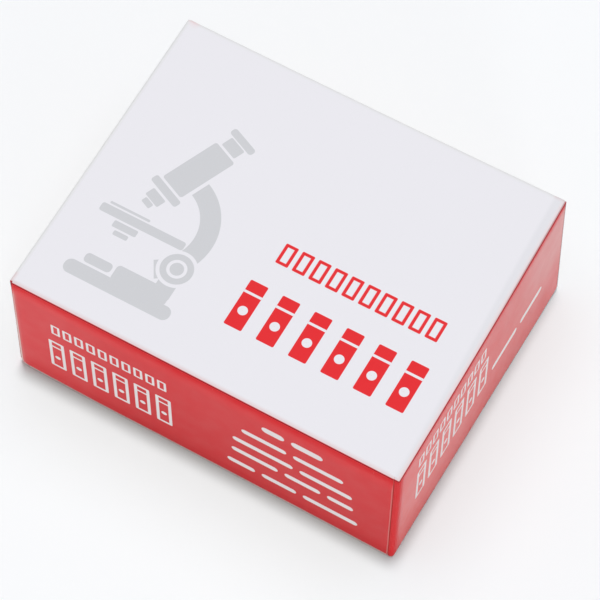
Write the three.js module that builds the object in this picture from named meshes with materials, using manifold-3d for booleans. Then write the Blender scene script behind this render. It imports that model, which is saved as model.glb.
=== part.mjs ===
// A carton of glass microscope slides, in millimetres, with +Z up.
// A folded paperboard tray stands on z = 0 and holds a cushion pad with a row of slides standing on
// their long edges. A full-depth lid of the same construction drops over the tray.
// The origin is the centre of the footprint, +X runs along the long side and the front faces -Y.

import * as THREE from 'three';
import { mergeVertices } from 'three/addons/utils/BufferGeometryUtils.js';
import Module from 'manifold-3d';

const wasm = await Module();
wasm.setup();

// ---- Driving dimensions ----

// Glass slides: one inch by three, with the flat that grinding leaves along every edge.
const slideLength = 76.2;
const slideHeight = 25.4;
const slideThickness = 1.13;
const groundFlat = 0.15;
const slideCount = 50;
const slideSpacing = 0.05;

// Paperboard, creased, folded and glued.
const boardThickness = 0.5;
const creaseRadius = 0.15; // inside a fold
const panelInset = 1.1; // a long wall stops this far short of the corner, over the glue tab
const panelCornerRadius = 1.0; // free corners of a long wall
const tabLength = 12;
const tabTaper = 2.5; // a tab's free end is this much shorter at its top and at its bottom
const tabShoulder = 1.5; // length of a tab, next to its crease, that keeps the full height

// Tray and what stands in it.
const padThickness = 5;
const padCornerRadius = 1.5;
const padPlay = 0.2; // all round the pad, clear of the folds' inner radius
const endPlay = 0.6; // between a slide's end and a short wall
const rowPlay = 0.3; // between the row's end slides and the glue tabs
const rimAboveSlides = 1.3;

// Lid.
const lidPlay = 0.3; // on each side, over the tray
const lidHeadroom = 0.3; // between the tray's rim and the underside of the lid's top
const lidFootGap = 0.2; // the lid's rim hangs this far above what the tray stands on

// Facets in a quarter turn of a fold or of a rounded corner.
const arcSegments = 6;

// ---- Worked-out sizes ----

const rowDepth = slideCount * slideThickness + (slideCount - 1) * slideSpacing;
const slideFoot = boardThickness + padThickness;

const tray = {
  length: slideLength + 2 * endPlay + 2 * boardThickness,
  depth: rowDepth + 2 * rowPlay + 4 * boardThickness,
  height: slideFoot + slideHeight + rimAboveSlides,
};

const lid = {
  length: tray.length + 2 * lidPlay + 2 * boardThickness,
  depth: tray.depth + 2 * lidPlay + 4 * boardThickness,
  height: tray.height + lidHeadroom + boardThickness - lidFootGap,
};

// ---- Solids ----

// A closed BufferGeometry as a manifold-3d solid.
function solid(geometry) {
  const plain = geometry.clone();
  plain.deleteAttribute('normal');
  plain.deleteAttribute('uv');
  const merged = mergeVertices(plain, 1e-5);
  return new wasm.Manifold(new wasm.Mesh({
    numProp: 3,
    vertProperties: merged.attributes.position.array,
    triVerts: new Uint32Array(merged.index.array),
  }));
}

// A manifold-3d solid as a BufferGeometry with flat-shaded faces.
function geometryOf(manifold) {
  const mesh = manifold.getMesh();
  const geometry = new THREE.BufferGeometry();
  geometry.setAttribute('position', new THREE.BufferAttribute(mesh.vertProperties, 3));
  geometry.setIndex(new THREE.BufferAttribute(mesh.triVerts, 1));
  const faceted = geometry.toNonIndexed();
  faceted.computeVertexNormals();
  return faceted;
}

const unitX = new THREE.Vector3(1, 0, 0);
const unitY = new THREE.Vector3(0, 1, 0);
const unitZ = new THREE.Vector3(0, 0, 1);

// How a flat shape's own x and y, and the way it is extruded, lie in the part.
const alongX = new THREE.Matrix4().makeBasis(unitY, unitZ, unitX);
const alongY = new THREE.Matrix4().makeBasis(unitX, unitZ, unitY.clone().negate());
const alongZ = new THREE.Matrix4();

// A shape extruded to a length, centred on it, along one of the three axes above.
function prism(shape, length, direction) {
  const geometry = new THREE.ExtrudeGeometry(shape, {
    depth: length,
    bevelEnabled: false,
    curveSegments: arcSegments,
  });
  geometry.translate(0, 0, -length / 2);
  geometry.applyMatrix4(direction);
  return solid(geometry);
}

// A rectangle centred on the origin, with all four corners rounded.
function roundedRectangle(width, height, radius) {
  const x = width / 2;
  const y = height / 2;
  const shape = new THREE.Shape();
  shape.absarc(x - radius, y - radius, radius, 0, Math.PI / 2);
  shape.absarc(-x + radius, y - radius, radius, Math.PI / 2, Math.PI);
  shape.absarc(-x + radius, -y + radius, radius, Math.PI, 1.5 * Math.PI);
  shape.absarc(x - radius, -y + radius, radius, 1.5 * Math.PI, 2 * Math.PI);
  shape.closePath();
  return shape;
}

// A block's section: flat foot at y = foot with rounded lower corners, straight sides up to y = top.
function blockSection(width, foot, top, radius) {
  const x = width / 2;
  const shape = new THREE.Shape();
  shape.moveTo(x, top);
  shape.lineTo(-x, top);
  shape.absarc(-x + radius, foot + radius, radius, Math.PI, 1.5 * Math.PI);
  shape.absarc(x - radius, foot + radius, radius, 1.5 * Math.PI, 2 * Math.PI);
  shape.closePath();
  return shape;
}

// The same block seen from the side of a long wall, with its free upper corners rounded instead.
function wallOutline(width, top, radius) {
  const x = width / 2;
  const shape = new THREE.Shape();
  shape.moveTo(-x, 0);
  shape.lineTo(x, 0);
  shape.absarc(x - radius, top - radius, radius, 0, Math.PI / 2);
  shape.absarc(-x + radius, top - radius, radius, Math.PI / 2, Math.PI);
  shape.closePath();
  return shape;
}

// A board folded up along two parallel creases: a panel on y = 0 and a wall at each side.
function channelSection(width, top) {
  const outerRadius = creaseRadius + boardThickness;
  const x = width / 2;
  const innerX = x - boardThickness;
  const shape = new THREE.Shape();
  shape.moveTo(-x, top);
  shape.absarc(-x + outerRadius, outerRadius, outerRadius, Math.PI, 1.5 * Math.PI);
  shape.absarc(x - outerRadius, outerRadius, outerRadius, 1.5 * Math.PI, 2 * Math.PI);
  shape.lineTo(x, top);
  shape.lineTo(innerX, top);
  shape.absarc(x - outerRadius, outerRadius, creaseRadius, 2 * Math.PI, 1.5 * Math.PI, true);
  shape.absarc(-x + outerRadius, outerRadius, creaseRadius, 1.5 * Math.PI, Math.PI, true);
  shape.lineTo(-innerX, top);
  shape.closePath();
  return shape;
}

// A block rounded where short walls fold up from the panel and where they turn the corners.
function foldedBlock(length, depth, foot, top, radius) {
  const overShortFolds = prism(blockSection(length, foot, top, radius), depth, alongY);
  const roundCorners = prism(roundedRectangle(length, depth, radius), 3 * top, alongZ);
  return overShortFolds.intersect(roundCorners);
}

// What is cut away between the tabs of a long side: it leaves two tabs with slanted upper and lower edges.
function betweenTabs(length, height) {
  const tabRoot = length / 2 - creaseRadius - boardThickness - tabShoulder;
  const tabEnd = length / 2 - creaseRadius - boardThickness - tabLength;
  const floor = boardThickness;
  const above = height + boardThickness;
  const shape = new THREE.Shape();
  shape.moveTo(-tabRoot, floor);
  shape.lineTo(tabRoot, floor);
  shape.lineTo(tabEnd, floor + tabTaper);
  shape.lineTo(tabEnd, height - tabTaper);
  shape.lineTo(tabRoot, height);
  shape.lineTo(tabRoot, above);
  shape.lineTo(-tabRoot, above);
  shape.lineTo(-tabRoot, height);
  shape.lineTo(-tabEnd, height - tabTaper);
  shape.lineTo(-tabEnd, floor + tabTaper);
  shape.closePath();
  return shape;
}

// An open box folded from one die-cut board, its panel on z = 0 and its rim at z = height.
// The short walls turn the corners and end in glue tabs. Each long wall lies over its two tabs.
function foldedBox({ length, depth, height }) {
  const outerRadius = creaseRadius + boardThickness;
  const overTabs = depth - 2 * boardThickness;

  const outside = foldedBlock(length, overTabs, 0, height, outerRadius);
  const inside = foldedBlock(
    length - 2 * boardThickness,
    overTabs - 2 * boardThickness,
    boardThickness,
    height + boardThickness,
    creaseRadius,
  );
  const shortWallsAndTabs = outside
    .subtract(inside)
    .subtract(prism(betweenTabs(length, height), depth, alongY));

  const wallLength = length - 2 * panelInset;
  const longWalls = prism(channelSection(depth, height), wallLength, alongX)
    .intersect(prism(wallOutline(wallLength, height, panelCornerRadius), 2 * depth, alongY));

  return shortWallsAndTabs.add(longWalls);
}

// A glass plate standing on its long edge, with the ground flat along all its edges.
function slideGeometry() {
  const core = new THREE.Shape();
  core.moveTo(-slideLength / 2, 0);
  core.lineTo(slideLength / 2, 0);
  core.lineTo(slideLength / 2, slideHeight);
  core.lineTo(-slideLength / 2, slideHeight);
  core.closePath();
  const coreThickness = slideThickness - 2 * groundFlat;
  const geometry = new THREE.ExtrudeGeometry(core, {
    depth: coreThickness,
    bevelEnabled: true,
    bevelSize: groundFlat,
    bevelOffset: -groundFlat,
    bevelThickness: groundFlat,
    bevelSegments: 1,
  });
  geometry.translate(0, 0, -coreThickness / 2);
  geometry.applyMatrix4(alongY);
  return geometry;
}

// A sheet of foam laid flat, standing on its own z = 0.
function padGeometry() {
  const border = creaseRadius + padPlay;
  const padLength = tray.length - 2 * boardThickness - 2 * border;
  const padDepth = tray.depth - 4 * boardThickness - 2 * border;
  return new THREE.ExtrudeGeometry(roundedRectangle(padLength, padDepth, padCornerRadius), {
    depth: padThickness,
    bevelEnabled: false,
    curveSegments: arcSegments,
  });
}

// ---- Materials ----

const printedBoard = new THREE.MeshStandardMaterial({ color: 0xd0353d, roughness: 0.42, metalness: 0 });
const plainBoard = new THREE.MeshStandardMaterial({ color: 0xe4e1da, roughness: 0.8, metalness: 0 });
const foam = new THREE.MeshStandardMaterial({ color: 0xf3f4f5, roughness: 0.7, metalness: 0 });
const glass = new THREE.MeshStandardMaterial({
  color: 0xe3f1ec,
  roughness: 0.05,
  metalness: 0,
  transparent: true,
  opacity: 0.35,
});

// ---- The assembly ----

function named(name, geometry, material) {
  const mesh = new THREE.Mesh(geometry, material);
  mesh.name = name;
  return mesh;
}

// The tray with its pad and the row of slides, front to back.
function filledTray() {
  const group = new THREE.Group();
  group.add(named('tray', geometryOf(foldedBox(tray)), plainBoard));

  const pad = named('cushion_pad', padGeometry(), foam);
  pad.position.z = boardThickness;
  group.add(pad);

  const plate = slideGeometry();
  for (let index = 0; index < slideCount; index += 1) {
    const label = String(index + 1).padStart(2, '0');
    const slide = named(`slide_${label}`, plate, glass);
    const step = index * (slideThickness + slideSpacing);
    slide.position.set(0, (slideThickness - rowDepth) / 2 + step, slideFoot);
    group.add(slide);
  }
  return group;
}

// The lid is folded like the tray, and stands on its head over it.
function closedLid() {
  const mesh = named('lid', geometryOf(foldedBox(lid)), printedBoard);
  mesh.rotation.x = Math.PI;
  mesh.position.z = lidFootGap + lid.height;
  return mesh;
}

const slideCarton = new THREE.Group();
slideCarton.add(filledTray());
slideCarton.add(closedLid());

export default slideCarton;
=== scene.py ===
"""A paperboard carton of glass microscope slides, finished and set on a plain studio floor.

Lengths are metres, unless a name ends in _mm or a comment says millimetres. A folded piece is made from its
flat blank. Each point of the board keeps its place there in the UV map "blank", in millimetres from the
middle of the panel, so the print goes where a press puts it before the board is folded.
"""

import math
from collections import namedtuple

import bmesh
import bpy
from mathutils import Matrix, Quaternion, Vector, noise


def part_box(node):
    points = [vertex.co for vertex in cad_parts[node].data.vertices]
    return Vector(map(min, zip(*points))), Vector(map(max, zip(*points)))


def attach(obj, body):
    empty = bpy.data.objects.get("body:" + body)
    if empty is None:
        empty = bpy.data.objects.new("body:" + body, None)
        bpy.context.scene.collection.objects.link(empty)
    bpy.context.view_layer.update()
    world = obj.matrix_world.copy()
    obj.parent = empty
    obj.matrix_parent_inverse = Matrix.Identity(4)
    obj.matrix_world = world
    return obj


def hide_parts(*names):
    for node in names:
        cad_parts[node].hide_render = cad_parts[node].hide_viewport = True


MM = 0.001

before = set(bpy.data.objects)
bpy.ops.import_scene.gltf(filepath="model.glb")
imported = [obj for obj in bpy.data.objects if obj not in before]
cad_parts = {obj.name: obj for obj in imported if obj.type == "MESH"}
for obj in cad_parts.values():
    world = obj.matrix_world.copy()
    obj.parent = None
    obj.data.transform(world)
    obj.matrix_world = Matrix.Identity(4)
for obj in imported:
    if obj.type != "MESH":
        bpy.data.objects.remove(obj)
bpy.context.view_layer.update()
scene = bpy.context.scene

# ---- Sizes ----

BOARD = 0.5 * MM
CREASE = 0.54 * MM  # outside radius of a creased fold, round the panel
TAB_LENGTH = 12 * MM
TAB_TAPER = 2.3 * MM
TAB_SHOULDER = 1.5 * MM
GLUE_GAP = 0.03 * MM  # between a glue tab and the wall over it
CELL = 1.2 * MM  # mesh cells on flat board
SAME_LINE = 0.005 * MM  # mesh lines that are nearer than this are one
FOLD_STEPS = 8
QUARTER = math.pi / 2
SPRING = 0.12 * MM  # a wall leaves its fold leaning in by this much
SPRING_DEPTH = 2.2 * MM
FLARE_REST = 0.85  # the share of a corner's flare that is left half-way down a wall
FLARE_RUN = 0.12 * MM  # past a long wall's cut end, a flare reaches its full size within this
SHARP_DEPTH = 3.2 * MM  # a turned corner is sharp at the panel and round below this
EDGE_WANDER = 0.05 * MM
STEADY = 0.6  # the share of a panel, round its middle, that stays flat when its walls are drawn in

# Millimetres at a corner: its bend's radius, how far short of it the long wall ends, the rounding of that
# wall's free corner, how far the rim rises in the bend, and how far the bend is pressed out at the panel.
CornerSizes = namedtuple("CornerSizes", "bend inset rounding lift flare")

# Corners are named by the signs of x and y, so (-1, -1) is at the front left.
LID_CORNERS = {
    (-1, -1): CornerSizes(0.58, 0.62, 1.5, 1.1, 0.2),
    (1, -1): CornerSizes(0.72, 1.16, 0.12, 0, 0.45),
    (-1, 1): CornerSizes(0.58, 0.62, 0.6, 0.1, 0.4),
    (1, 1): CornerSizes(0.58, 0.58, 1.0, 0.8, 0.4),
}
TRAY_CORNERS = {
    (-1, -1): CornerSizes(0.9, 1.2, 0.6, 0.1, 0.3),
    (1, -1): CornerSizes(0.9, 1.0, 0.5, 0.1, 0.3),
    (-1, 1): CornerSizes(0.9, 1.0, 0.6, 0.1, 0.3),
    (1, 1): CornerSizes(0.9, 1.1, 0.7, 0.1, 0.3),
}

lid_low, lid_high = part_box("lid")
tray_low, tray_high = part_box("tray")
pad_low, pad_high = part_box("cushion_pad")
slide_names = sorted(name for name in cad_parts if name.startswith("slide_"))


# ---- Folding board ----


def spread(start, end, cell=CELL):
    """Evenly spaced values from start to end, about a cell apart."""
    steps = max(1, round(abs(end - start) / cell))
    return [start + (end - start) * step / steps for step in range(steps + 1)]


def in_order(values):
    """Values from low to high, with those that are nearly the same taken once."""
    kept = []
    for value in sorted(values):
        if not kept or value - kept[-1] > SAME_LINE:
            kept.append(value)
    return kept


def between(values, low, high):
    """The values from low to high, with both of these included."""
    return [value for value in values if low - SAME_LINE < value < high + SAME_LINE]


class Corner:
    """One corner of a folded box: where its board bends and ends, measured from the box's middle."""

    def __init__(self, signs, size, sizes_mm):
        length, depth, self.height = size
        self.side, self.end = signs
        self.bend, inset, self.rounding, self.lift, self.flare = [value * MM for value in sizes_mm]
        self.x_bend = length / 2 - self.bend
        self.y_bend = depth / 2 - BOARD - self.bend
        self.x_cut = length / 2 - inset
        self.columns = [self.x_bend, self.x_cut]
        if self.x_bend - self.x_cut > 3 * FLARE_RUN:
            self.columns.append(self.x_cut + FLARE_RUN)
        self.flat = self.bend - CREASE
        self.y_flat = self.y_bend + self.flat

    def pressed(self, x, y, z):
        """Where a point of the turned corner goes when it is pressed out beside the long wall."""
        past_cut = min(1, max(0, (abs(x) - self.x_cut) / FLARE_RUN + max(0, 1 - (z / CREASE) ** 2)))
        near_end = min(1, max(0, (abs(y) - self.y_bend + MM) / MM))
        ease = FLARE_REST + (1 - FLARE_REST) * (1 - 2 * z / self.height) ** 2
        return x, y + self.end * self.flare * ease * past_cut * near_end, z


class Sheet:
    """A folded sheet's mesh. Each point keeps its place on the flat blank, in millimetres."""

    def __init__(self):
        self.mesh = bmesh.new()
        self.blank_map = self.mesh.loops.layers.uv.new("blank")

    def patch(self, rows, columns, place, blank, wanted=None):
        """Adds a grid of faces, only where wanted says so if it is given.

        place gives each point of the grid its place in space, and blank its place on the flat blank.
        """
        points = {}
        for i in range(len(rows) - 1):
            for j in range(len(columns) - 1):
                if wanted and not wanted((rows[i] + rows[i + 1]) / 2, (columns[j] + columns[j + 1]) / 2):
                    continue
                cell = [(i, j), (i + 1, j), (i + 1, j + 1), (i, j + 1)]
                for a, b in cell:
                    if (a, b) not in points:
                        points[a, b] = self.mesh.verts.new(place(rows[a], columns[b]))
                face = self.mesh.faces.new([points[at] for at in cell])
                for loop, (a, b) in zip(face.loops, cell):
                    loop[self.blank_map].uv = [value / MM for value in blank(rows[a], columns[b])]


def fold_box(size, corner_sizes):
    """The printed side of an open box folded from one blank: its panel on z = 0, its rim at z = height.

    The short walls turn the corners and end in glue tabs, and the long walls lie over the tabs.
    """
    sheet = Sheet()
    length, depth, height = size
    x_crease = length / 2 - CREASE
    y_crease = depth / 2 - CREASE
    corners = {signs: Corner(signs, size, sizes_mm) for signs, sizes_mm in corner_sizes.items()}
    turn = [QUARTER * step / FOLD_STEPS for step in range(FOLD_STEPS + 1)]
    zs = spread(CREASE, height)

    x_inner = min(corner.x_cut for corner in corners.values()) - 1.4 * MM
    y_inner = min(corner.y_bend for corner in corners.values())
    xs = in_order(spread(-x_inner, x_inner) + [-x_crease, x_crease] + [
        corner.side * x for corner in corners.values() for x in corner.columns
    ])
    ys = in_order(spread(-y_inner, y_inner) + [-y_crease, y_crease] + [
        corner.end * y for corner in corners.values() for y in (corner.y_bend, corner.y_flat)
    ])

    def corner_near(x, y):
        return corners[math.copysign(1, x), math.copysign(1, y)]

    def in_panel(x, y):
        corner = corner_near(x, y)
        if abs(y) < corner.y_bend:
            return abs(x) < x_crease
        if abs(x) < min(corner.x_cut, corner.x_bend):
            return abs(y) < y_crease
        return abs(x) < corner.x_bend and abs(y) < corner.y_flat

    def on_panel(x, y):
        corner = corner_near(x, y)
        in_corner = abs(y) < corner.y_flat + 2 * SAME_LINE
        return corner.pressed(x, y, 0) if in_corner else (x, y, 0)

    sheet.patch(xs, ys, on_panel, lambda x, y: (x, y), in_panel)

    def press(x, y, z):
        return corner_near(x, y).pressed(x, y, z)

    # Points of a wall's section: how far out from the crease, how far down, and how far along the blank.
    section = [(CREASE * math.sin(t), CREASE * (1 - math.cos(t)), CREASE * t) for t in turn]
    section += [(CREASE, z, CREASE * QUARTER + z - CREASE) for z in zs[1:]]
    for side in (-1, 1):
        sheet.patch(
            section, between(ys, -corners[side, -1].y_bend, corners[side, 1].y_bend),
            lambda step, y: press(side * (x_crease + step[0]), y, step[1]),
            lambda step, y: (side * (x_crease + step[2]), y),
        )
    for end in (-1, 1):
        sheet.patch(
            between(xs, -corners[-1, end].x_cut, corners[1, end].x_cut), section,
            lambda x, step: (x, end * (y_crease + step[0]), step[1]),
            lambda x, step: (x, end * (y_crease + step[2])),
        )
    for corner in corners.values():
        corner_xs = between([corner.side * x for x in xs], 0, x_crease)
        add_corner(sheet, corner, corner_xs, turn, zs)

    mesh = sheet.mesh
    bmesh.ops.remove_doubles(mesh, verts=mesh.verts, dist=0.002 * MM)
    for corner in corners.values():
        tip = Vector((corner.side * corner.x_cut, corner.end * depth / 2, height))
        free_corner = min(mesh.verts, key=lambda vertex: (vertex.co - tip).length)
        round_off(mesh, free_corner, corner.rounding)
    return mesh


def round_off(mesh, vertex, radius):
    """Rounds a free corner of a wall: points within the radius of both its edges move in to the arc."""
    corner = vertex.co.copy()
    for near in mesh.verts:
        off_wall = abs(near.co.y - corner.y) > 2 * SAME_LINE
        if off_wall or abs(near.co.x) > abs(corner.x) + 2 * SAME_LINE:
            continue
        across = radius - abs(near.co.x - corner.x)
        down = radius - abs(near.co.z - corner.z)
        if across <= 0 or down <= 0:
            continue
        scale = max(across, down) / math.hypot(across, down)
        near.co.x += math.copysign(1, corner.x) * (across * scale - across)
        near.co.z += down * scale - down


def add_corner(sheet, corner, xs, turn, zs):
    """Where a short wall turns a corner: the pressed-down tip, the upright bend and the glue tab."""
    side, end = corner.side, corner.end
    height = zs[-1]
    wall_start = corner.x_bend + corner.flat + CREASE * QUARTER - CREASE

    def outward(out, angle, z):
        """A point at a distance out from the upright axis of the bend, which is sharp near the panel."""
        sharp = max(0, 1 - z / SHARP_DEPTH) ** 2
        out *= 1 + sharp * (1 / max(math.cos(angle), math.sin(angle)) - 1)
        x, y = corner.x_bend + out * math.cos(angle), corner.y_bend + out * math.sin(angle)
        return corner.pressed(side * x, end * y, z)

    def outward_blank(out, angle):
        x_share = min(1, 1 / max(0.001, math.tan(angle)))
        y_share = min(1, math.tan(angle))
        return side * (corner.x_bend + out * x_share), end * (corner.y_bend + (out + BOARD) * y_share)

    def tip_blank(t, angle):
        return outward_blank(corner.flat + CREASE * t, angle)

    flat_steps = [x - corner.x_bend for x in between(xs, corner.x_bend, corner.x_bend + corner.flat)]
    sheet.patch(flat_steps, turn, lambda out, angle: outward(out, angle, 0), outward_blank)
    sheet.patch(
        turn, turn,
        lambda t, angle: outward(corner.flat + CREASE * math.sin(t), angle, CREASE * (1 - math.cos(t))),
        tip_blank,
    )
    if corner.x_cut < corner.x_bend:
        sheet.patch(
            turn, between(xs, corner.x_cut, corner.x_bend),
            lambda t, x: corner.pressed(
                side * x, end * (corner.y_flat + CREASE * math.sin(t)), CREASE * (1 - math.cos(t)),
            ),
            lambda t, x: (side * x, tip_blank(t, QUARTER)[1]),
        )

    def bend_height(z, angle):
        share = math.sin(min(QUARTER, 1.5 * angle)) ** 2
        return CREASE + (z - CREASE) * (1 - corner.lift * share / (height - CREASE))

    sheet.patch(
        zs, turn,
        lambda z, angle: outward(corner.bend, angle, bend_height(z, angle)),
        lambda z, angle: (
            side * (wall_start + bend_height(z, angle)), end * (corner.y_bend + corner.bend * angle),
        ),
    )

    def tab_height(z, reach):
        slope = max(0, reach - TAB_SHOULDER) / (TAB_LENGTH - TAB_SHOULDER)
        share = (z - CREASE) / (height - CREASE)
        low = CREASE + TAB_TAPER * slope
        high = height - corner.lift - TAB_TAPER * slope
        return low + (high - low) * share

    to_cut = max(0.2 * MM, corner.x_bend - corner.x_cut)

    def tab_point(z, reach):
        y = corner.y_bend + corner.bend - GLUE_GAP * min(1, reach / to_cut)
        return corner.pressed(side * (corner.x_bend - reach), end * y, tab_height(z, reach))

    steps = [corner.x_bend - x for x in between(xs, corner.x_cut, corner.x_bend)]
    reaches = in_order([0, to_cut, TAB_SHOULDER] + steps) + spread(TAB_SHOULDER, TAB_LENGTH)[1:]
    sheet.patch(
        zs, reaches, tab_point,
        lambda z, reach: (
            side * (wall_start + tab_height(z, reach)),
            end * (corner.y_bend + corner.bend * QUARTER + reach),
        ),
    )


def ragged_edges(mesh):
    """Lets the cut edges of the board wander a little, as a worn die leaves them."""
    for vertex in mesh.verts:
        along_edge = [edge for edge in vertex.link_edges if edge.is_boundary]
        if len(along_edge) != 2:
            continue
        ends = [edge.other_vert(vertex).co for edge in along_edge]
        run = (ends[1] - ends[0]).normalized()
        inward = run.cross(vertex.normal).normalized()
        wander = noise.noise(vertex.co / (6 * MM)) + 0.6 * noise.noise(vertex.co / (1.7 * MM))
        vertex.co += inward * EDGE_WANDER * wander


def put_in_scene(name, data):
    """Makes an object of a mesh, a lamp or a camera."""
    placed = bpy.data.objects.new(name, data)
    scene.collection.objects.link(placed)
    return placed


def put_mesh_in_scene(name, mesh, *materials):
    data = bpy.data.meshes.new(name)
    mesh.to_mesh(data)
    mesh.free()
    for material in materials:
        data.materials.append(material)
    return put_in_scene(name, data)


def smooth(data, sharp_degrees):
    """Shades a mesh smooth, but for edges that turn by more than an angle."""
    data.polygons.foreach_set("use_smooth", [True] * len(data.polygons))
    data.set_sharp_from_angle(angle=math.radians(sharp_degrees))


def thicken(name, mesh, materials):
    """Gives a folded sheet its thickness. The second material is its back's, the third its cut edges'."""
    mesh.normal_update()
    piece = put_mesh_in_scene(name, mesh, *materials)
    board = piece.modifiers.new("board", "SOLIDIFY")
    board.thickness = BOARD
    board.offset = -1
    board.use_even_offset = True
    board.material_offset = 1
    board.material_offset_rim = 2
    soften = piece.modifiers.new("soften", "BEVEL")
    soften.width = 0.06 * MM
    soften.segments = 2
    soften.limit_method = "ANGLE"
    soften.angle_limit = math.radians(60)
    depsgraph = bpy.context.evaluated_depsgraph_get()
    thin = piece.data
    piece.data = bpy.data.meshes.new_from_object(piece.evaluated_get(depsgraph))
    piece.modifiers.clear()
    bpy.data.meshes.remove(thin)
    piece.data.name = name
    smooth(piece.data, 40)
    return piece


def face_outward(mesh):
    """Turns a folded sheet's printed side outward."""
    bmesh.ops.recalc_face_normals(mesh, faces=mesh.faces)
    lowest = min(mesh.faces, key=lambda face: face.calc_center_median().z)
    if lowest.normal.z > 0:
        bmesh.ops.reverse_faces(mesh, faces=mesh.faces)


def draw_in(mesh, size, set_in):
    """Draws the flat board in a little, as handling and damp leave it. Nothing is pushed outward.

    set_in holds millimetres at the "fold" and at the "rim": for a corner its move along x and along y, and
    for the middle of a wall how far it bows in beyond the line between its corners. "lift" holds how far the
    rim rises at a corner, and over what length of wall it comes down again. What isn't given is 0.
    """
    length, depth, height = size
    for vertex in mesh.verts:
        x, y, z = vertex.co
        across = max(-1, min(1, 2 * x / length))
        along = max(-1, min(1, 2 * y / depth))
        down = z / height
        side = "right" if across > 0 else "left"
        face = "front" if along < 0 else "back"
        side_in = face_in = SPRING * max(0, 1 - z / SPRING_DEPTH) ** 2
        for level, share in (("fold", 1 - down), ("rim", down)):
            moves = set_in[level]
            x_front, x_back = (moves.get(end + side, (0, 0))[0] for end in ("front ", "back "))
            y_left, y_right = (moves.get(face + end, (0, 0))[1] for end in (" left", " right"))
            side_bow = moves.get(side, 0) * (1 - along**2)
            face_bow = moves.get(face, 0) * (1 - across**2)
            side_in += share * MM * (x_front + (x_back - x_front) * (along + 1) / 2 + side_bow)
            face_in += share * MM * (y_left + (y_right - y_left) * (across + 1) / 2 + face_bow)
        near_side = max(0, (abs(across) - STEADY) / (1 - STEADY)) ** 2
        near_face = max(0, (abs(along) - STEADY) / (1 - STEADY)) ** 2
        vertex.co.x -= math.copysign(max(0, side_in) * near_side, x)
        vertex.co.y -= math.copysign(max(0, face_in) * near_face, y)
        vertex.co.z += set_in.get("sag", 0) * MM * (1 - across**2) * (1 - along**2) * (1 - down)
        lift, run = set_in["lift"].get(face + " " + side, (0, 1))
        to_corner = (length / 2 - abs(x) + depth / 2 - abs(y)) / MM
        vertex.co.z -= lift * MM * max(0, 1 - to_corner / run) * max(0, down) ** 3


def stand_in_place(mesh, low, high, upright):
    """Moves a folded sheet to its place, the panel underneath if upright, else on top."""
    centre = (low + high) / 2
    for vertex in mesh.verts:
        x, y, z = vertex.co
        vertex.co = Vector((centre.x + x, centre.y + y, low.z + z if upright else high.z - z))
    if not upright:
        bmesh.ops.reverse_faces(mesh, faces=mesh.faces)


def make_folded_piece(name, low, high, upright, corner_sizes, set_in, materials):
    """A folded box that fills the space from low to high."""
    size = high - low
    mesh = fold_box(size, corner_sizes)
    face_outward(mesh)
    mesh.normal_update()
    ragged_edges(mesh)
    draw_in(mesh, size, set_in)
    stand_in_place(mesh, low, high, upright)
    return thicken(name, mesh, materials)


# ---- Node helpers ----


def colour(red, green, blue):
    """A screen colour, 0 to 255, as the linear colour that a shader takes."""
    def linear(value):
        share = value / 255
        return share / 12.92 if share <= 0.04045 else ((share + 0.055) / 1.055) ** 2.4

    return (linear(red), linear(green), linear(blue), 1)


class Net:
    """Adds nodes to a node tree and joins them."""

    def __init__(self, tree):
        self.tree = tree

    def feed(self, socket, value):
        if isinstance(value, bpy.types.NodeSocket):
            self.tree.links.new(value, socket)
        else:
            socket.default_value = value

    def node(self, kind, inputs, **settings):
        """Adds a node. inputs are values, or the sockets that feed it, by name or number."""
        made = self.tree.nodes.new("ShaderNode" + kind)
        for name, value in settings.items():
            setattr(made, name, value)
        for name, value in inputs.items():
            self.feed(made.inputs[name], value)
        return made

    def source(self, kind, output):
        return self.node(kind, {}).outputs[output]

    def math(self, operation, *values):
        return self.node("Math", dict(enumerate(values)), operation=operation).outputs[0]

    def vector(self, operation, *values):
        made = self.node("VectorMath", dict(enumerate(values)), operation=operation)
        return made.outputs["Value" if operation == "LENGTH" else "Vector"]

    def chain(self, operation, values):
        found = values[0]
        for value in values[1:]:
            found = self.math(operation, found, value)
        return found

    def most(self, *values):
        """The largest of several masks."""
        return self.chain("MAXIMUM", values)

    def times(self, *values):
        return self.chain("MULTIPLY", values)

    def plus(self, *values):
        return self.chain("ADD", values)

    def less(self, value, amount):
        return self.math("SUBTRACT", value, amount)

    def cut(self, mask, hole):
        """A mask with another taken out of it."""
        return self.times(mask, self.less(1, hole))

    def ramp(self, value, start, end, low=0, high=1):
        """value from start to end becomes low to high, with a soft start and end."""
        inputs = {"Value": value, "From Min": start, "From Max": end, "To Min": low, "To Max": high}
        return self.node("MapRange", inputs, interpolation_type="SMOOTHSTEP").outputs["Result"]

    def band(self, value, start, end, rise, fall):
        """1 where value is between start and end, with a soft rise before and a soft fall after."""
        return self.times(self.ramp(value, start - rise, start), self.ramp(value, end, end + fall, 1, 0))

    def mix(self, share, first, second):
        return self.node("Mix", {0: share, 6: first, 7: second}, data_type="RGBA").outputs[2]

    def coat(self, base, *layers):
        """A base colour with layers over it in turn, each a mask and a colour."""
        for mask, layer_colour in layers:
            base = self.mix(mask, base, layer_colour)
        return base

    def noise(self, place, scale, detail=2, roughness=0.5):
        inputs = {"Vector": place, "Scale": scale, "Detail": detail, "Roughness": roughness}
        return self.node("TexNoise", inputs).outputs["Fac"]

    def split(self, vector):
        """The x and the y of a vector."""
        return self.node("SeparateXYZ", {"Vector": vector}).outputs[:2]

    def join(self, x, y):
        return self.node("CombineXYZ", {"X": x, "Y": y}).outputs["Vector"]

    def use(self, group, **inputs):
        """Places a node group, with its inputs by name, and gives its outputs."""
        return self.node("Group", inputs, node_tree=group).outputs


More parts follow.
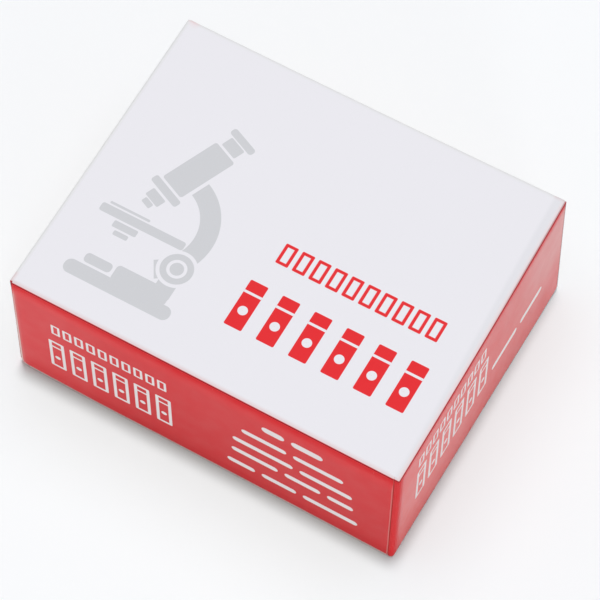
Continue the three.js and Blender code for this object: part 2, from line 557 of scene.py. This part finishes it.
def new_group(name, inputs, outputs):
    """An empty shader node group: its net, what it is given and what it gives."""
    tree = bpy.data.node_groups.new(name, "ShaderNodeTree")
    for in_out, sockets in (("INPUT", inputs), ("OUTPUT", outputs)):
        for socket, kind in sockets.items():
            tree.interface.new_socket(socket, in_out=in_out, socket_type="NodeSocket" + kind)
    given = tree.nodes.new("NodeGroupInput").outputs
    result = tree.nodes.new("NodeGroupOutput").inputs
    return Net(tree), given, result


def new_material(name, kind=Net):
    """An empty material, its net and its Principled shader's inputs."""
    material = bpy.data.materials.new(name)
    material.use_nodes = True
    return material, kind(material.node_tree), material.node_tree.nodes["Principled BSDF"].inputs


# ---- Print: simple shapes on the flat blank, in millimetres ----


def give_ink(net, result, distance):
    """Full ink where a distance to an outline is negative, none where it is positive."""
    soft_edge = 0.05
    net.feed(result["Ink"], net.ramp(distance, soft_edge, -soft_edge))


def new_shape_group(name, *sizes):
    """An empty group for one printed shape, which takes a centre and sizes, and gives ink."""
    inputs = {"Point": "Vector", "Centre": "Vector", **{size: "Float" for size in sizes}}
    return new_group(name, inputs, {"Ink": "Float"})


def from_centre(net, given):
    """The point as seen from the shape's centre, and the same with the shape's turn taken back."""
    point = net.vector("SUBTRACT", given["Point"], given["Centre"])
    turn_back = {"Vector": point, "Angle": net.times(given["Turn"], -1)}
    return point, net.node("VectorRotate", turn_back, rotation_type="Z_AXIS").outputs["Vector"]


def filled_or_line(net, line, filled, from_line):
    """The distance to a filled shape, or to a line round from_line = 0 where line has a width."""
    outline = net.less(net.math("ABSOLUTE", from_line), net.times(line, 0.5))
    drawn = net.math("GREATER_THAN", line, 0)
    return net.plus(net.cut(filled, drawn), net.times(outline, drawn))


def make_bar_group():
    """A rectangle with rounded corners, turned and filled, or drawn as an outline where Line is over 0."""
    net, given, result = new_shape_group("printed bar", "Width", "Height", "Corner", "Turn", "Line")
    turned = from_centre(net, given)[1]
    flat_sides = [net.less(net.times(given[size], 0.5), given["Corner"]) for size in ("Width", "Height")]
    beyond = net.vector("SUBTRACT", net.vector("ABSOLUTE", turned), net.join(*flat_sides))
    across, along = net.split(beyond)
    outside = net.vector("LENGTH", net.vector("MAXIMUM", net.join(across, along), (0, 0, 0)))
    inside = net.math("MINIMUM", net.most(across, along), 0)
    distance = net.less(net.plus(outside, inside), given["Corner"])
    from_line = net.plus(distance, net.times(given["Line"], 0.5))
    give_ink(net, result, filled_or_line(net, given["Line"], distance, from_line))
    return net.tree


def make_arc_group():
    """A stretch of a ring, Sweep radians long with its middle at Turn, or a disc where Line is 0."""
    net, given, result = new_shape_group("printed arc", "Radius", "Line", "Turn", "Sweep")
    point, turned = from_centre(net, given)
    out = net.vector("LENGTH", point)
    from_radius = net.less(out, given["Radius"])
    distance = filled_or_line(net, given["Line"], from_radius, from_radius)
    x, y = net.split(turned)
    angle = net.math("ABSOLUTE", net.math("ARCTAN2", y, x))
    past_end = net.less(angle, net.times(given["Sweep"], 0.5))
    give_ink(net, result, net.most(distance, net.times(past_end, out)))
    return net.tree


def make_row_group():
    """Repeats what is drawn at the origin, Count times along x at each Pitch, round a centre."""
    inputs = {"Point": "Vector", "Centre": "Vector", "Pitch": "Float", "Count": "Float"}
    net, given, result = new_group("printed row", inputs, {"Point": "Vector", "Within": "Float"})
    x, y = net.split(net.vector("SUBTRACT", given["Point"], given["Centre"]))
    place = net.plus(net.math("DIVIDE", x, given["Pitch"]), net.times(given["Count"], 0.5))
    in_cell = net.less(net.math("FRACT", place), 0.5)
    net.feed(result["Point"], net.join(net.times(in_cell, given["Pitch"]), y))
    before_end = net.math("LESS_THAN", place, given["Count"])
    after_start = net.math("GREATER_THAN", place, 0)
    net.feed(result["Within"], net.times(before_end, after_start))
    return net.tree


def make_board_group():
    """Paper fibres and the slow waves of the sheet: a tone, and a height for bump."""
    inputs = {"Point": "Vector", "Fibre": "Float"}
    net, given, result = new_group("board surface", inputs, {"Tone": "Float", "Height": "Float"})
    fibres = net.noise(net.vector("MULTIPLY", given["Point"], (1, 3, 1)), given["Fibre"], 4, 0.6)
    specks = net.noise(given["Point"], net.times(given["Fibre"], 3), 2)
    waves = net.noise(given["Point"], 0.07, 1)
    net.feed(result["Tone"], fibres)
    height = net.plus(net.times(fibres, 0.7), net.times(specks, 0.3), net.times(waves, 14))
    net.feed(result["Height"], height)
    return net.tree


PRINTED_BAR = make_bar_group()
PRINTED_ARC = make_arc_group()
PRINTED_ROW = make_row_group()
BOARD_SURFACE = make_board_group()


class Ink(namedtuple("Ink", "net point")):
    """Draws shapes at places on the board, each as a mask of its ink."""

    def bar(self, x, y, width, height, corner=0, turn=0, line=0):
        return self.net.use(
            PRINTED_BAR, Point=self.point, Centre=(x, y, 0), Width=width, Height=height,
            Corner=corner, Turn=math.radians(turn), Line=line,
        )["Ink"]

    def arc(self, x, y, radius, line=0, turn=0, sweep=360):
        past_full_turn = 0.1 if sweep == 360 else 0  # so that a full ring has no seam
        return self.net.use(
            PRINTED_ARC, Point=self.point, Centre=(x, y, 0), Radius=radius, Line=line,
            Turn=math.radians(turn), Sweep=math.radians(sweep) + past_full_turn,
        )["Ink"]

    def row(self, x, y, pitch, count):
        """Ink for the cell that a row repeats, and a mask of where the row is."""
        cells = self.net.use(PRINTED_ROW, Point=self.point, Centre=(x, y, 0), Pitch=pitch, Count=count)
        return Ink(self.net, cells["Point"]), cells["Within"]

    def cover_glasses(self, x, y, width, height, line):
        """Ten cover glasses side by side, drawn in outline."""
        cell, within = self.row(x, y, width / 10, 10)
        glass = cell.bar(0, 0, width * 0.075, height, corner=0.25, line=line)
        return self.net.times(glass, within)

    def slides(self, x, y, width, height, line=0):
        """Six upright slides side by side, with label ends and specimens, filled or in outline."""
        cell, within = self.row(x, y, width / 6, 6)
        slide_width = min(height * 0.36, width / 6 * 0.72)
        label_line = height * 0.5 - slide_width * 0.7
        glass = cell.bar(0, 0, slide_width, height, corner=0.3, line=line)
        label = cell.bar(0, label_line, slide_width - line, line * 0.8 if line else height * 0.05)
        specimen = cell.arc(0, -height * 0.12, slide_width * (0.18 if line else 0.26))
        if line:
            drawn = self.net.most(glass, label, specimen)
        else:
            drawn = self.net.cut(glass, self.net.most(label, specimen))
        return self.net.times(drawn, within)

    def text_bars(self, x, y, widths, height):
        """A centred line of plain bars that stand where words would."""
        gap = 1.4
        start = x - (sum(widths) + gap * (len(widths) - 1)) / 2
        bars = []
        for width in widths:
            bars.append(self.bar(start + width / 2, y, width, height, corner=height / 2))
            start += width + gap
        return self.net.most(*bars)

    def microscope(self, x, y):
        """A plain microscope sign, 22 mm wide and 41 mm high, made of bars and arcs round its middle."""
        net = self.net
        sign = Ink(net, net.vector("SUBTRACT", self.point, (x, y, 0)))
        lean = 24
        knob_middle = (7.3, -10.2)

        def on_tube(along, width, length, corner):
            """A bar across the leaning tube, at a distance along it from the tube's middle."""
            bar_x = 0.4 + math.sin(math.radians(lean)) * along
            bar_y = 9.3 + math.cos(math.radians(lean)) * along
            return sign.bar(bar_x, bar_y, width, length, corner=corner, turn=-lean)

        round_knob = sign.arc(*knob_middle, 3.8)
        round_tube = on_tube(0, 7, 13.4, 0.9)
        arm = sign.arc(-1.6, -3.4, 10.3, line=3.8, turn=9, sweep=136)
        stand = net.most(
            sign.bar(0, -19, 22, 3, 1.4), sign.bar(3.4, -16.2, 11.2, 3.4, 0.8),
            sign.bar(7.3, -13.6, 3.6, 6, 0.4),
        )
        tube = [
            on_tube(0, 5.6, 12, 0.5), on_tube(7.7, 3.8, 2.4, 0.3), on_tube(9.9, 6.2, 1.5, 0.6),
            on_tube(-7.3, 7.4, 1.6, 0.5), on_tube(-9.6, 3.6, 2, 0.3), on_tube(-11.4, 2.2, 1.2, 0.3),
        ]
        stage = [
            sign.bar(-2.6, -5.7, 17.6, 1.8, 0.5), sign.bar(-6, -4.2, 8.4, 0.5, 0.2),
            sign.bar(-5, -7.7, 5, 1.4, 0.3), sign.bar(-5, -9.3, 3, 1, 0.3),
            sign.bar(-5.6, -16, 5.6, 2, 0.8),
        ]
        return net.most(
            net.cut(arm, net.most(round_tube, round_knob)), net.cut(stand, round_knob), *tube, *stage,
            net.cut(sign.arc(*knob_middle, 3.1), sign.arc(*knob_middle, 1.6, line=0.6)),
        )


# ---- The lid's print, its wear, and its painted light and shade ----

# Places on the lid's flat blank, in millimetres from the middle of its panel.
HALF_X = (lid_high.x - lid_low.x) / 2 / MM
HALF_Y = (lid_high.y - lid_low.y) / 2 / MM
FOLD = CREASE / MM
BENT = FOLD * QUARTER  # the board in a fold
SAVED = FOLD * (2 - QUARTER)  # a fold takes this much less board than a sharp corner
RIM_DROP = (lid_high.z - lid_low.z) / MM - SAVED
Y_BEND = HALF_Y - BOARD / MM - 0.9  # the short walls' board starts to turn about here
LEFT_END = (-34, -12)  # the front wall's left end passes into its middle here

# Pale bare board for worn lips and scuffs, and also the colour of the painted sheen on the right wall.
PALE_LIP_AND_SHEEN = colour(240, 222, 214)


class LidBlank(Net):
    """The printed material's nodes: masks and colours by their places on the lid's flat blank."""

    def __init__(self, tree):
        super().__init__(tree)
        self.point = self.node("UVMap", {}, uv_map="blank").outputs["UV"]
        self.x, self.y = self.split(self.point)
        self.from_x, self.from_y = self.split(self.vector("ABSOLUTE", self.point))
        self.ink = Ink(self, self.point)
        self.board = self.use(BOARD_SURFACE, Point=self.point, Fibre=2.2)
        self.red_ink = self.toned(colour(226, 42, 48), colour(232, 48, 53))
        by_right_fold = self.ramp(self.x, HALF_X - 1, HALF_X)
        self.deep_red = self.mix(by_right_fold, colour(126, 24, 34), colour(122, 52, 56))
        self.on_short_walls = self.ramp(self.from_x, HALF_X, HALF_X + 0.4)
        self.folds = self.find_folds()

    def toned(self, dark, light):
        return self.mix(self.board["Tone"], dark, light)

    def zone(self, x_ramp, y_ramp):
        """A mask from a ramp along x and a ramp along y."""
        return self.times(self.ramp(self.x, *x_ramp), self.ramp(self.y, *y_ramp))

    def white_area(self, wider=0, deeper=0, corner=0.1):
        """The panel's white, or more: part of the way round the near folds, right round the far ones."""
        over = BENT * 0.58
        shift = FOLD * 0.32
        width = 2 * (HALF_X - FOLD + over + shift) + wider
        depth = 2 * (HALF_Y - FOLD + over + shift) + deeper
        return self.ink.bar(-shift, shift, width, depth, corner=corner)

    def wall_marks(self):
        """White print on the front wall and on the right wall, each read from its own side."""
        front = SAVED - HALF_Y
        marks = [
            self.ink.cover_glasses(-19.4, front - 10.7, 24.8, 3.5, 0.5),
            self.ink.slides(-19.5, front - 20.7, 27.1, 10.3, line=0.65),
            self.ink.text_bars(18.6, front - 6.9, [4.6, 6.4], 1.9),
        ]
        for drop, widths in (
            (12, [9.2, 10.2]), (16.8, [12.4, 10.8]), (21.3, [9.6, 7.4, 5.4]), (26.6, [5.8, 7.2, 11.4]),
        ):
            marks.append(self.ink.text_bars(18.6, front - drop, widths, 1.5))
        right = SAVED - HALF_X
        right_ink = Ink(self, self.join(self.y, self.times(self.x, -1)))
        marks += [
            right_ink.cover_glasses(-11.7, right - 6.6, 25.8, 3.6, 0.5),
            right_ink.slides(-11.1, right - 16, 28.1, 11, line=0.7),
            right_ink.text_bars(14.1, right - 19.6, [9.6, 8.4], 1.6),
        ]
        return self.most(*marks)

    def find_folds(self):
        """Where the board is bent, beside the panel and at the turned corners, and its varnish is thin."""
        short_folds = self.band(self.from_x, HALF_X - FOLD, HALF_X - FOLD + BENT, 0.1, 1.05)
        long_folds = self.band(self.from_y, HALF_Y - FOLD, HALF_Y - FOLD + BENT, 0.1, 3.6)
        turned_corners = self.most(
            self.ramp(self.times(self.y, -1), Y_BEND - 1.3, Y_BEND + 0.7),
            self.ramp(self.y, Y_BEND + 0.5, Y_BEND + 0.8),
        )
        return self.most(
            self.times(short_folds, 0.75),
            self.times(long_folds, self.ramp(self.x, -20, -6, 0.8, 1)),
            self.times(self.on_short_walls, turned_corners),
        )

    def fold_shadows(self):
        """Painted shade: darker red round the panel, and at the front left and the back turned corners."""
        round_panel = self.cut(self.white_area(0.6, 0.6, 0.2), self.white_area(0.14, 0.14))
        left_bend = self.zone((-HALF_X - 0.2, -HALF_X - 0.8), (0.3 - Y_BEND, -Y_BEND - 0.2))
        back_bends = self.times(self.on_short_walls, self.ramp(self.y, Y_BEND + 0.05, Y_BEND + 0.2))
        return self.most(self.times(round_panel, 0.78), self.times(self.most(left_bend, back_bends), 0.75))

    def bare_lips(self):
        """Bare board along the rim, where the die's cut has chipped the ink."""
        rims = [
            self.ramp(place, half + RIM_DROP - 0.2, half + RIM_DROP - 0.08)
            for place, half in ((self.from_x, HALF_X), (self.from_y, HALF_Y))
        ]
        chips = self.noise(self.point, 0.9, 4, 0.6)
        return self.times(self.most(*rims), self.ramp(chips, 0.34, 0.56))

    def worn_ends_and_far_sheen(self):
        """Ink worn thin at the front wall's ends, and a painted sheen that pales the right wall toward its
        far end.
        """
        left_cut = LID_CORNERS[-1, -1].inset - HALF_X
        right_cut = HALF_X - LID_CORNERS[1, -1].inset
        far = 100
        left_lip = self.ink.bar(
            left_cut + far, far - HALF_Y - RIM_DROP, 2 * far, 2 * far,
            corner=LID_CORNERS[-1, -1].rounding, line=0.34,
        )
        ends = self.most(
            self.times(left_lip, self.ramp(self.y, -HALF_Y - 8, -HALF_Y - 17, 0.45, 0.8)),
            self.times(self.band(self.x, -HALF_X, left_cut, 0.1, 1.1), 0.18),
            self.times(self.band(self.x, right_cut - 0.16, HALF_X, 0.08, 0.1), 0.22),
        )
        on_front_wall = self.zone((HALF_X + 0.1, HALF_X), (-HALF_Y - 1.5, -HALF_Y - 5))
        # Painted sheen: the right wall paler toward its far end, most near its top.
        painted_far_sheen = self.times(
            self.zone((HALF_X, HALF_X + 3), (2, HALF_Y, 0, 0.24)),
            self.ramp(self.x, HALF_X + 28, HALF_X + 12),
        )
        return self.most(self.times(ends, on_front_wall), painted_far_sheen)

    def wall_colour(self):
        """Red ink with painted light and shade: darker toward the front rim, brighter by the front fold and
        the front wall's left end, and warmer and brighter on the right wall toward its front.
        """
        # Painted light: brighter red by the front fold and toward the front wall's left end.
        by_front_fold = self.band(self.y, -HALF_Y - 2.5, -HALF_Y - 1.4, 3.5, 1.2)
        painted_brightness = self.most(
            self.times(by_front_fold, self.ramp(self.x, *LEFT_END, 1, 0.6)),
            self.ramp(self.x, *LEFT_END, 0.4, 0),
        )
        along_right = self.ramp(self.y, -HALF_Y, HALF_Y)
        scuffs = self.ramp(self.noise(self.point, 2.3, 4, 0.7), 0.66, 0.72)
        return self.coat(
            self.red_ink,
            # Painted shade: darker red toward the front rim, fading out toward the wall's left end.
            (self.zone(LEFT_END, (-HALF_Y - 5, -HALF_Y - 25)), colour(221, 36, 42)),
            (painted_brightness, colour(243, 44, 50)),
            # Painted light: the right wall warmer than the other walls, and brighter toward its front.
            (
                self.zone((HALF_X + 0.6, HALF_X + 2), (-Y_BEND, 2 - Y_BEND)),
                self.mix(along_right, colour(236, 46, 43), colour(226, 44, 45)),
            ),
            (self.wall_marks(), colour(250, 241, 241)),
            (self.worn_ends_and_far_sheen(), PALE_LIP_AND_SHEEN),
            (self.fold_shadows(), self.deep_red),
            (self.most(self.times(scuffs, self.folds, 0.5), self.bare_lips()), PALE_LIP_AND_SHEEN),
        )

    def panel_colour(self):
        """White ink with grey and red print and a small stain at the back left, with painted shade toward
        its edges and along the right fold.
        """
        # Painted shade: the white darker toward the panel's edges, and pinker by the near folds.
        painted_edge_shade = self.most(
            self.ramp(self.from_x, HALF_X - 1.1, HALF_X - 0.1),
            self.ramp(self.from_y, HALF_Y - 1.1, HALF_Y - 0.1),
        )
        near_folds = self.most(
            self.ramp(self.x, HALF_X - 3, HALF_X - 2), self.ramp(self.y, 3 - HALF_Y, 2 - HALF_Y),
        )
        from_stain = self.vector("LENGTH", self.vector("SUBTRACT", self.point, (1.4 - HALF_X, HALF_Y, 0)))
        narrowed = self.less(self.x, self.ramp(self.y, -HALF_Y, HALF_Y, 1.2, 0))
        right_shade = self.times(
            self.ramp(narrowed, HALF_X - 2.8, HALF_X - 1.8),
            self.ramp(self.x, HALF_X - 1, HALF_X - 0.5, 0.38, 0),
        )
        # Painted shade: a dark red line inside the white along the right fold, stronger toward the back.
        right_fold_shadow = self.cut(
            self.zone((HALF_X - 1, HALF_X - 0.6), (-4, 20, 0, 0.42)), self.white_area(-0.44, 1),
        )
        red_marks = self.most(
            self.ink.cover_glasses(16.2, -2.7, 33.7, 4.4, 0.62), self.ink.slides(16, -15, 39.2, 10),
        )
        return self.coat(
            self.toned(colour(233, 232, 237), colour(236, 235, 241)),
            (self.ink.microscope(-22, -4.6), self.toned(colour(204, 205, 209), colour(210, 211, 215))),
            (self.times(painted_edge_shade, 0.68), self.mix(near_folds, colour(225, 226, 225), colour(226, 203, 203))),
            (self.ramp(from_stain, 2, 0.2, 0, 0.4), colour(236, 190, 192)),
            (right_shade, colour(216, 217, 222)),
            (right_fold_shadow, self.deep_red),
            (red_marks, self.red_ink),
        )

    def gloss(self, panel):
        """How much varnish shows: little on the folds and the panel, less on the long walls, and patchy."""
        long_walls = self.ramp(self.from_y, HALF_Y, HALF_Y + 0.5)
        dulled = self.times(long_walls, self.ramp(self.x, *LEFT_END, 0.32, 0.52))
        patches = self.ramp(self.noise(self.point, 0.045, 2), 0.36, 0.62, 0.86, 1)
        on_folds = self.ramp(self.folds, 0, 1, 1, 0.12)
        return self.times(self.cut(on_folds, dulled), patches, self.ramp(panel, 0, 1, 1, 0.25))


# ---- Materials ----


def add_bump(net, shader, height, distance):
    """Bump from a height that runs from 0 to about 1, which stands for a distance in metres."""
    bump = net.node("Bump", {"Height": height, "Distance": distance})
    net.feed(shader["Normal"], bump.outputs["Normal"])


def object_point_mm(net):
    return net.vector("MULTIPLY", net.source("TexCoord", "Object"), (1000, 1000, 1000))


def make_printed_material():
    """Coated board: a white panel, red walls, red and grey print, under a varnish thinned on the folds."""
    material, blank, shader = new_material("printed varnished board", LidBlank)
    panel = blank.white_area()
    printed = blank.mix(panel, blank.wall_colour(), blank.panel_colour())
    # Diffuse bounces see a greyer colour than the print, pinker beside the right wall: a painted bounce
    # colour, which sets the tint of the shade that the lid leaves on the floor.
    bounced = blank.source("LightPath", "Is Diffuse Ray")
    on_right = blank.ramp(blank.x, HALF_X, HALF_X + 0.4)
    bounce = blank.mix(on_right, (0.4, 0.33, 0.27, 1), (0.33, 0.14, 0.11, 1))
    blank.feed(shader["Base Color"], blank.mix(bounced, printed, bounce))
    shader["Specular IOR Level"].default_value = 0.05
    waves = blank.noise(blank.point, 0.25, 3)
    blank.feed(shader["Roughness"], blank.ramp(waves, 0.25, 0.75, 0.45, 0.6))
    blank.feed(shader["Coat Weight"], blank.gloss(panel))
    shader["Coat Roughness"].default_value = 0.26
    shader["Coat IOR"].default_value = 1.27
    add_bump(blank, shader, blank.board["Height"], 0.0015 * MM)
    return material


def make_plain_material(name, dark, light, fibre, front=None):
    """Board with no coat: fibres of two tones, and a dull surface. front, if given, is the colour of its
    front half.
    """
    material, net, shader = new_material(name)
    point = object_point_mm(net)
    board = net.use(BOARD_SURFACE, Point=point, Fibre=fibre)
    tone = net.mix(net.ramp(board["Tone"], 0.3, 0.7), dark, light)
    if front:
        tone = net.mix(net.ramp(net.split(point)[1], 2, -2), tone, front)
    net.feed(shader["Base Color"], tone)
    shader["Roughness"].default_value = 0.85
    shader["Specular IOR Level"].default_value = 0.3
    add_bump(net, shader, board["Height"], 0.012 * MM)
    return material


def make_foam_material():
    """White closed-cell foam: small cells, each a little lighter or darker."""
    material, net, shader = new_material("closed-cell foam")
    cells = net.node("TexVoronoi", {"Vector": object_point_mm(net), "Scale": 1.6}).outputs["Distance"]
    tone = net.mix(net.ramp(cells, 0, 0.6), colour(240, 240, 238), colour(216, 217, 216))
    net.feed(shader["Base Color"], tone)
    shader["Roughness"].default_value = 0.8
    add_bump(net, shader, net.times(cells, -1), 0.12 * MM)
    return material


def make_glass_material():
    """Soda-lime glass, pale green through its length, polished on its faces and ground along its edges."""
    material, net, shader = new_material("soda-lime glass")
    nodes = material.node_tree.nodes
    shader["Base Color"].default_value = colour(232, 246, 239)
    shader["Transmission Weight"].default_value = 1
    shader["IOR"].default_value = 1.52
    across = net.math("ABSOLUTE", net.split(net.source("TexCoord", "Normal"))[1])
    ground = net.math("LESS_THAN", across, 0.9)
    grit = net.noise(object_point_mm(net), 9, 3, 0.7)
    ground_roughness = net.ramp(grit, 0.3, 0.7, 0.34, 0.5)
    polished = net.cut(0.03, ground)
    net.feed(shader["Roughness"], net.plus(net.times(ground, ground_roughness), polished))
    add_bump(net, shader, net.times(grit, ground), 0.01 * MM)

    clear = nodes["Principled BSDF"].outputs["BSDF"]
    frost = net.node("BsdfPrincipled", {"Base Color": colour(228, 241, 235), "Roughness": 0.7})
    frosted = net.times(ground, net.ramp(grit, 0.3, 0.7, 0.5, 0.85))
    slide = net.node("MixShader", {0: frosted, 1: clear, 2: frost.outputs["BSDF"]}).outputs["Shader"]
    lamps_through = net.node("BsdfTransparent", {"Color": colour(240, 248, 244)}).outputs["BSDF"]
    from_lamp = net.source("LightPath", "Is Shadow Ray")
    lit = net.node("MixShader", {0: from_lamp, 1: slide, 2: lamps_through}).outputs["Shader"]
    net.feed(nodes["Material Output"].inputs["Surface"], lit)
    return material


# ---- Foam pad ----


def make_pad(name, low, high, slide_middles, material):
    """A foam sheet with soft edges. It rises a little between the slides that stand on it."""
    centre = (low + high) / 2
    half = (high - low) / 2
    rise = 0.09 * MM
    edge = 0.8 * MM
    pitch = abs(slide_middles[1] - slide_middles[0])
    row_start = min(slide_middles) - pitch / 2
    row_end = max(slide_middles) + pitch / 2
    ys = spread(-half.y, half.y, 0.2 * MM)
    xs = spread(-half.x, half.x, 2.4 * MM)
    mesh = bmesh.new()

    def inset(value, limit):
        """How far a sheet's surface lies below its full height near its rim, from 0 to 1."""
        return max(0, 1 - (limit - abs(value)) / edge)

    def top(x, y):
        rim = min(1, math.hypot(inset(x, half.x), inset(y, half.y)))
        world_y = centre.y + y
        ridge = 0.0
        if row_start < world_y < row_end:
            from_slide = abs((world_y - row_start) % pitch - pitch / 2)
            ridge = max(0, (from_slide - 0.4 * pitch) / (0.1 * pitch))
        drop = (1 - math.sqrt(1 - rim**2)) * 0.5 * MM
        return half.z - drop + ridge * rise * (1 - rim)

    def skin(height):
        return [[mesh.verts.new(centre + Vector((x, y, height(x, y)))) for x in xs] for y in ys]

    upper = skin(top)
    lower = skin(lambda x, y: -half.z + (1 - math.sqrt(1 - min(1, inset(x, half.x)) ** 2)) * 0.2 * MM)
    for rows, flip in ((upper, False), (lower, True)):
        for i in range(len(ys) - 1):
            for j in range(len(xs) - 1):
                corners = [rows[i][j], rows[i][j + 1], rows[i + 1][j + 1], rows[i + 1][j]]
                mesh.faces.new(reversed(corners) if flip else corners)
    bmesh.ops.bridge_loops(mesh, edges=[edge for edge in mesh.edges if edge.is_boundary])
    sides = [edge for edge in mesh.edges if abs(edge.verts[0].co.z - edge.verts[1].co.z) > 1.5 * MM]
    cuts = bmesh.ops.subdivide_edges(mesh, edges=sides, cuts=4)
    for vertex in {item for item in cuts["geom_inner"] if isinstance(item, bmesh.types.BMVert)}:
        out = vertex.co - centre
        bulge = 0.12 * MM * (1 - (out.z / half.z) ** 2)
        for axis in (0, 1):
            if abs(out[axis]) > half[axis] - 2 * SAME_LINE:
                vertex.co[axis] += math.copysign(bulge, out[axis])
    bmesh.ops.recalc_face_normals(mesh, faces=mesh.faces)
    pad = put_mesh_in_scene(name, mesh, material)
    smooth(pad.data, 50)
    return pad


# ---- The pieces ----

printed_board = make_printed_material()
plain_board = make_plain_material("plain uncoated board", colour(205, 199, 187), colour(226, 221, 211), 2.2)
tray_board = make_plain_material("tray board", colour(226, 224, 218), colour(240, 239, 235), 2.2)
cut_edge = make_plain_material("cut board edge", colour(232, 216, 206), colour(250, 242, 234), 5)
# Painted light: the cut edges lighter and pink on their front half, standing in for red bounce from the
# walls and lifted against the shade of the seam's groove.
painted_bounce_edge = make_plain_material(
    "cut board edge with painted red bounce", colour(226, 220, 216), colour(240, 236, 234), 1.6,
    front=colour(246, 112, 106),
)

LID_SET_IN = {
    "fold": {
        "front left": (0.42, 0.34), "front right": (0, 0.18), "back left": (0.28, 0.18),
        "back right": (0.58, 0), "left": 0.05, "right": -0.17, "back": 0.18,
    },
    "rim": {
        "front left": (0, 0.36), "front right": (0.46, 0), "left": 0.1, "right": 0.05,
        "front": 0.15, "back": 0.1,
    },
    "sag": 0.12,
    "lift": {"front left": (0.9, 17), "back right": (0.9, 8)},
}
TRAY_SET_IN = {
    "fold": {"front left": (0, 0.12), "front right": (0.24, 0.03)},
    "rim": {
        "front left": (0.2, 0.14), "front right": (0.12, 0.1), "back left": (0.12, 0.12),
        "back right": (0.34, 0.1), "left": 0.06, "right": 0.08, "front": 0.05, "back": 0.04,
    },
    "lift": {},
}

lid = make_folded_piece(
    "lid_board", lid_low, lid_high, False, LID_CORNERS, LID_SET_IN,
    (printed_board, plain_board, painted_bounce_edge),
)
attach(lid, "lid")
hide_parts("lid")

tray = make_folded_piece(
    "tray_board", tray_low, tray_high, True, TRAY_CORNERS, TRAY_SET_IN, (tray_board, tray_board, cut_edge),
)
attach(tray, "base")
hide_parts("tray")

slide_middles = [sum(corner.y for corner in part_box(name)) / 2 for name in slide_names]
pad = make_pad("foam_pad", pad_low, pad_high, slide_middles, make_foam_material())
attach(pad, "base")
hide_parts("cushion_pad")

glass = make_glass_material()
for slide_name in slide_names:
    for slide_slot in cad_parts[slide_name].material_slots:
        slide_slot.material = glass


# ---- Floor, lamps and camera ----


def make_floor_material():
    material, net, shader = new_material("pale studio floor")
    grain = net.noise(net.source("TexCoord", "Object"), 3, 2)
    net.feed(shader["Base Color"], net.mix(grain, colour(249, 251, 253), colour(251, 252, 254)))
    shader["Roughness"].default_value = 0.9
    shader["Specular IOR Level"].default_value = 0.0
    return material


floor_mesh = bmesh.new()
bmesh.ops.create_circle(floor_mesh, cap_ends=True, radius=6, segments=96)
floor = put_mesh_in_scene("studio_floor", floor_mesh, make_floor_material())


def direction(azimuth, elevation):
    """The way out from the object, in degrees round from its front and up."""
    a, e = math.radians(azimuth), math.radians(elevation)
    return Vector((math.sin(a) * math.cos(e), -math.cos(a) * math.cos(e), math.sin(e)))


def add_sun(name, azimuth, elevation, level, width):
    """A far, round softbox. level is the share of full white that it gives a surface facing it."""
    lamp = bpy.data.lights.new(name, "SUN")
    lamp.energy = level * math.pi
    lamp.angle = math.radians(width)
    placed = put_in_scene(name, lamp)
    placed.rotation_mode = "QUATERNION"
    placed.rotation_quaternion = (-direction(azimuth, elevation)).to_track_quat("-Z", "Y")


add_sun("overhead lamp", azimuth=198, elevation=86.6, level=0.43, width=6)
add_sun("overhead softbox", azimuth=190, elevation=84, level=0.3, width=60)
add_sun("side fill", azimuth=40, elevation=6, level=0.2, width=16)

world = bpy.data.worlds.new("studio")
world.use_nodes = True
scene.world = world
sky = Net(world.node_tree)
background = world.node_tree.nodes["Background"]
rays = sky.node("LightPath", {}).outputs
seen = sky.most(rays["Is Camera Ray"], rays["Is Glossy Ray"], rays["Is Transmission Ray"])
sky.feed(background.inputs["Color"], (0.98, 0.985, 1, 1))
sky.feed(background.inputs["Strength"], sky.ramp(seen, 0, 1, 0.25, 0.95))

CAMERA_WAY = direction(azimuth=29.617, elevation=62.369)
CAMERA_ROLL = math.radians(-0.059)
CAMERA_DISTANCE = 622.6 * MM
CAMERA_TARGET = Vector((3.082, -1.653, 16.0)) * MM

camera_data = bpy.data.cameras.new("camera")
camera_data.lens = 204.09
camera_data.clip_start = 0.01
camera_data.clip_end = 50
camera = put_in_scene("camera", camera_data)
camera.location = CAMERA_TARGET + CAMERA_WAY * CAMERA_DISTANCE
camera.rotation_mode = "QUATERNION"
camera.rotation_quaternion = (-CAMERA_WAY).to_track_quat("-Z", "Y") @ Quaternion((0, 0, 1), CAMERA_ROLL)
scene.camera = camera
scene.view_settings.view_transform = "Standard"
